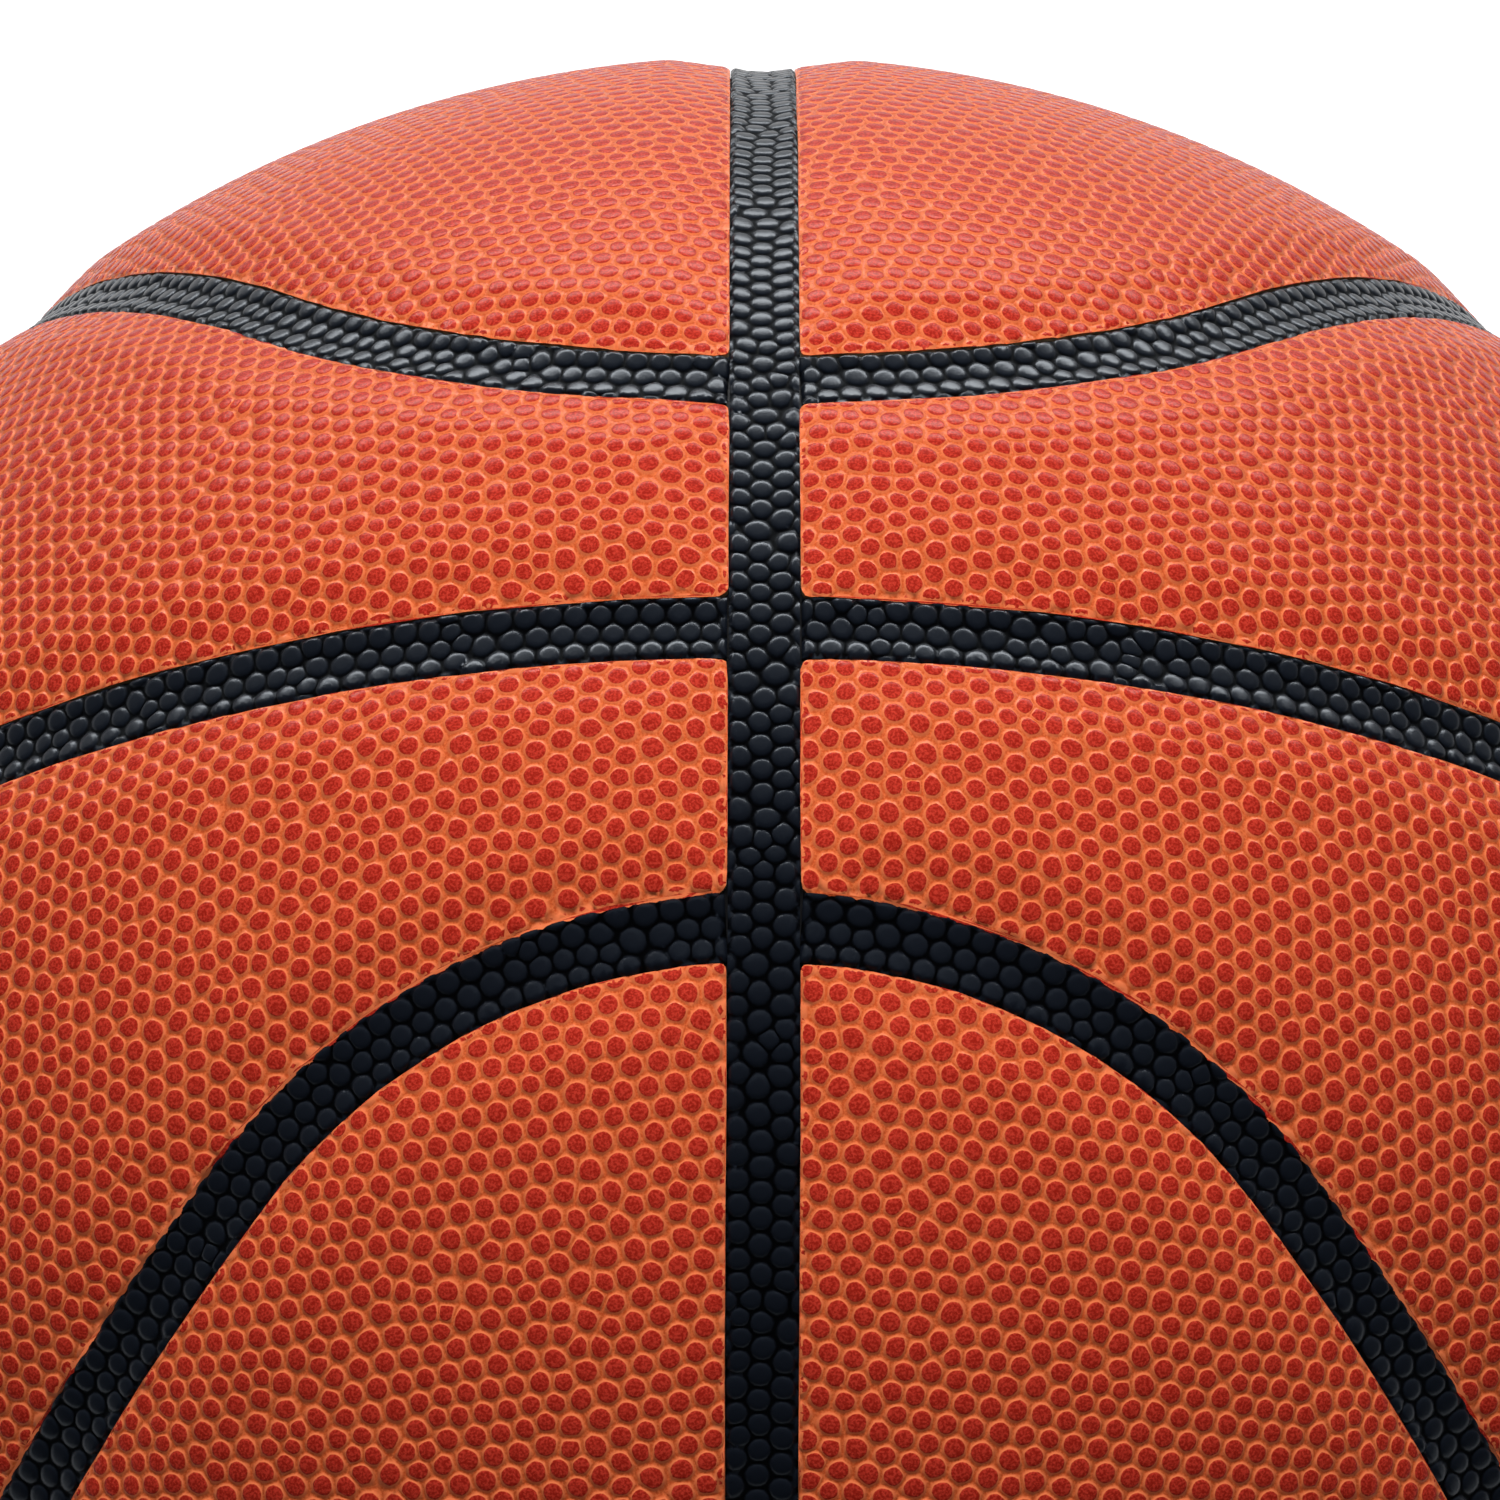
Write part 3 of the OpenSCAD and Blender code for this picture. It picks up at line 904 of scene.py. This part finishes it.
def rounded(radius, level, size, inward, down):
    """Points round a quarter turn at a corner; inward and down say where the corner's middle lies."""
    return [
        (radius - inward * size * (1 - math.cos(a)), level - down * size * (1 - math.sin(a)))
        for a in np.linspace(0, math.pi / 2, ROUND_POINTS)
    ]


def dome(reach, radii):
    """Points of a sphere about the ball's centre, at distances from the valve's axis."""
    return [(r, math.sqrt(reach**2 - r**2)) for r in radii]


# Cover panels and curved strips, each made for the back right quarter and mirrored into its own
leather = pebbled_leather()
black_leather = channel_leather()
quarters = [(end, side) for end in ("front", "back") for side in ("left", "right")]
for number, (end, side) in enumerate(quarters):
    flip = np.array([-1 if side == "left" else 1, -1 if end == "front" else 1, 1])
    for kind in ("end", "waist"):
        seed = SEEDS[kind] + QUARTER_SEEDS * number
        panel_piece(f"{end}_{side}_{kind}_panel", kind, flip, seed, leather)
    line, across = loop_curve(0, JOINT_X)
    strip_piece(f"{end}_{side}_strip", line, across, flip, SEEDS["strip"] + number, black_leather)

# The middle strips butt against the ring strip, which runs all round
joint_turn = math.asin(JOINT_X / FLOOR_R)
half_turn = np.linspace(joint_turn, math.pi - joint_turn, MIDDLE_POINTS)
line = np.stack([np.sin(half_turn), 0 * half_turn, np.cos(half_turn)], axis=1)
across = np.tile([0.0, 1.0, 0.0], (MIDDLE_POINTS, 1))
for number, side in enumerate(("left", "right")):
    flip = np.array([-1 if side == "left" else 1, 1, 1])
    strip_piece(f"{side}_middle_strip", line, across, flip, SEEDS["middle"] + number, black_leather)
full_turn = np.linspace(-math.pi, math.pi, RING_POINTS)
line = np.stack([0 * full_turn, np.sin(full_turn), np.cos(full_turn)], axis=1)
across = np.tile([1.0, 0.0, 0.0], (RING_POINTS, 1))
strip_piece("ring_strip", line, across, np.array([1, 1, 1]), SEEDS["ring"], black_leather)

# The valve, as the CAD has it, with its corners rounded and a funnel that leads the needle in. Its levels are
# distances from the ball's centre along its axis.
valve_axis = np.array([math.cos(radians(VALVE_TURN)), math.sin(radians(VALVE_TURN)), 0])
housing_points = node_points("valve_housing")
levels = housing_points @ valve_axis
barrel_end, neck_end = levels.min(), levels.max()
flange_out = np.linalg.norm(housing_points[np.abs(levels - neck_end) > 2 * NECK_R], axis=1).max()
flange_in = flange_out - FLANGE_T
bore = PLUG_R + PLUG_GLUE
lip = barrel_end + LIP_T
housing_profile = (
    [(NECK_R, barrel_end)]
    + dome(flange_in, (NECK_R, FLANGE_MIDDLE_R, FLANGE_R - FLANGE_ROUND))
    + [(FLANGE_R, dome(flange_in, (FLANGE_R,))[0][1] + FLANGE_ROUND)]
    + [(FLANGE_R, dome(flange_out, (FLANGE_R,))[0][1] - FLANGE_ROUND)]
    + dome(flange_out, (FLANGE_R - FLANGE_ROUND, FLANGE_MIDDLE_R, NECK_R))
    + rounded(NECK_R, neck_end, NECK_ROUND, 1, 1)
    + rounded(bore, neck_end, PLUG_ROUND, -1, 1)[::-1]
    + [(bore, lip), (AIR_R, lip), (AIR_R, barrel_end), (NECK_R, barrel_end)]
)
plug_profile = (
    [(PLUG_R, lip)]
    + rounded(PLUG_R, neck_end, PLUG_ROUND, 1, 1)
    + [(FUNNEL_R, neck_end)]
    + rounded(NEEDLE_R, neck_end - FUNNEL_EDGE, FUNNEL_DEPTH, -FUNNEL_WIDENING, 1)[::-1]
    + [(NEEDLE_R, neck_end - NEEDLE_DEPTH)]
)
housing_rubber = plain_rubber("moulded_valve_rubber", "#1b1b1d", roughness=0.42, grain_size=0.3)
turned_piece("valve_housing_turned", housing_profile, True, housing_rubber, "valve_housing")
plug_rubber = plain_rubber("soft_plug_rubber", "#232325", roughness=0.5, grain_size=0.3)
turned_piece("valve_plug_turned", plug_profile, False, plug_rubber, "valve_plug")

# The layers under the cover keep their CAD shapes
inner_materials = {
    "bladder": plain_rubber("butyl_rubber", "#2b2b2d", roughness=0.55, grain_size=0.6),
    "winding": wound_thread(),
    "carcass": plain_rubber("moulded_carcass_rubber", "#1c1c1e", roughness=0.7, grain_size=0.5),
}
for node, material in inner_materials.items():
    NODES[node].data.materials.clear()
    NODES[node].data.materials.append(material)

# A pale matt floor, which glows for whatever sees the background, so that the ball's shadow stays on it
bpy.ops.object.select_all(action="DESELECT")
bpy.ops.mesh.primitive_plane_add(size=FLOOR_SIZE, location=(0, 0, cad_box[0][2]))
floor = bpy.context.object
floor.name = "floor"
floor_material, tree, shader = new_material("studio_floor")
shader.inputs["Base Color"].default_value = linear("#e9e9e9")
shader.inputs["Roughness"].default_value = 0.9
path = add(tree, "ShaderNodeLightPath")
glow = add(tree, "ShaderNodeEmission", {"Strength": FLOOR_GLOW})
both = add(tree, "ShaderNodeAddShader", {0: shader.outputs[0], 1: glow.outputs[0]})
seen = path.outputs["Is Camera Ray"]
for ray in ("Is Glossy Ray", "Is Transmission Ray"):
    seen = add(tree, "ShaderNodeMath", {0: seen, 1: path.outputs[ray]}, operation="MAXIMUM").outputs[0]
show = add(tree, "ShaderNodeMixShader", {0: seen, 1: shader.outputs[0], 2: both.outputs[0]})
tree.links.new(show.outputs[0], tree.nodes["Material Output"].inputs["Surface"])
floor.data.materials.append(floor_material)


def softbox(name, elevation, distance, width, height, power, glossy=True):
    """A rectangular lamp that faces the ball.

    Its elevation counts from the front's horizon over the top, its sizes are in metres, its power in watts.
    """
    data = bpy.data.lights.new(name, "AREA")
    data.shape = "RECTANGLE"
    data.size, data.size_y = width, height
    data.energy = power
    lamp = bpy.data.objects.new(name, data)
    lamp.location = Vector((0, -math.cos(radians(elevation)), math.sin(radians(elevation)))) * distance
    lamp.rotation_euler = (-lamp.location).to_track_quat("-Z", "Y").to_euler()
    lamp.visible_camera = False
    lamp.visible_glossy = glossy
    bpy.context.scene.collection.objects.link(lamp)
    return lamp


# The key gives the ball its light, and the low one behind only the sheen on the pebbles
softbox("key_softbox", elevation=110, distance=1.0, width=0.6, height=0.6, power=9.2, glossy=False)
sheen = softbox("back_softbox", elevation=163, distance=1.6, width=2.2, height=0.4, power=46)
sheen.visible_diffuse = False

world = bpy.data.worlds.new("studio")
world.use_nodes = True
tree = world.node_tree
tree.nodes.clear()
path = add(tree, "ShaderNodeLightPath")
direction = add(tree, "ShaderNodeTexCoord")
parts = add(tree, "ShaderNodeSeparateXYZ", {"Vector": direction.outputs["Generated"]})
power = add(tree, "ShaderNodeMath", {0: MIRRORED_RISE, 1: parts.outputs["Y"]}, operation="POWER")
behind = add(tree, "ShaderNodeMath", {0: power.outputs[0], 1: MIRRORED}, operation="MULTIPLY")
ambient = add(tree, "ShaderNodeBackground", {"Color": (1, 1, 1, 1), "Strength": AMBIENT})
backdrop = add(tree, "ShaderNodeBackground", {"Color": (1, 1, 1, 1), "Strength": behind.outputs[0]})
white = add(tree, "ShaderNodeBackground", {"Color": (1, 1, 1, 1), "Strength": 1.0})
# What mirrors sees the backdrop fade to the dark room round the camera, as the ball in the photo does
lit = {0: path.outputs["Is Glossy Ray"], 1: ambient.outputs[0], 2: backdrop.outputs[0]}
mirrored = add(tree, "ShaderNodeMixShader", lit)
through = {0: path.outputs["Is Camera Ray"], 1: path.outputs["Is Transmission Ray"]}
clear = add(tree, "ShaderNodeMath", through, operation="MAXIMUM")
shown = add(tree, "ShaderNodeMixShader", {0: clear.outputs[0], 1: mirrored.outputs[0], 2: white.outputs[0]})
add(tree, "ShaderNodeOutputWorld", {"Surface": shown.outputs[0]})
bpy.context.scene.world = world

turned = Matrix.Rotation(radians(TILT), 3, "X") @ Matrix.Rotation(radians(YAW), 3, "Y")
turned = turned @ Matrix.Rotation(radians(ROLL), 3, "Z")
to_ball_centre = Vector((BALL_PX[0] - FRAME_PX / 2, FRAME_PX / 2 - BALL_PX[1], -FOCAL_PX)).normalized()
lens = bpy.data.cameras.new("camera")
lens.sensor_width = SENSOR
lens.lens = FOCAL_PX / FRAME_PX * SENSOR
camera = bpy.data.objects.new("camera", lens)
camera.location = -(turned @ to_ball_centre) * (DISTANCE_IN_RADII * CROWN_R * MM)
camera.rotation_euler = turned.to_euler()
bpy.context.scene.collection.objects.link(camera)
bpy.context.scene.camera = camera
bpy.context.scene.view_settings.view_transform = "Standard"
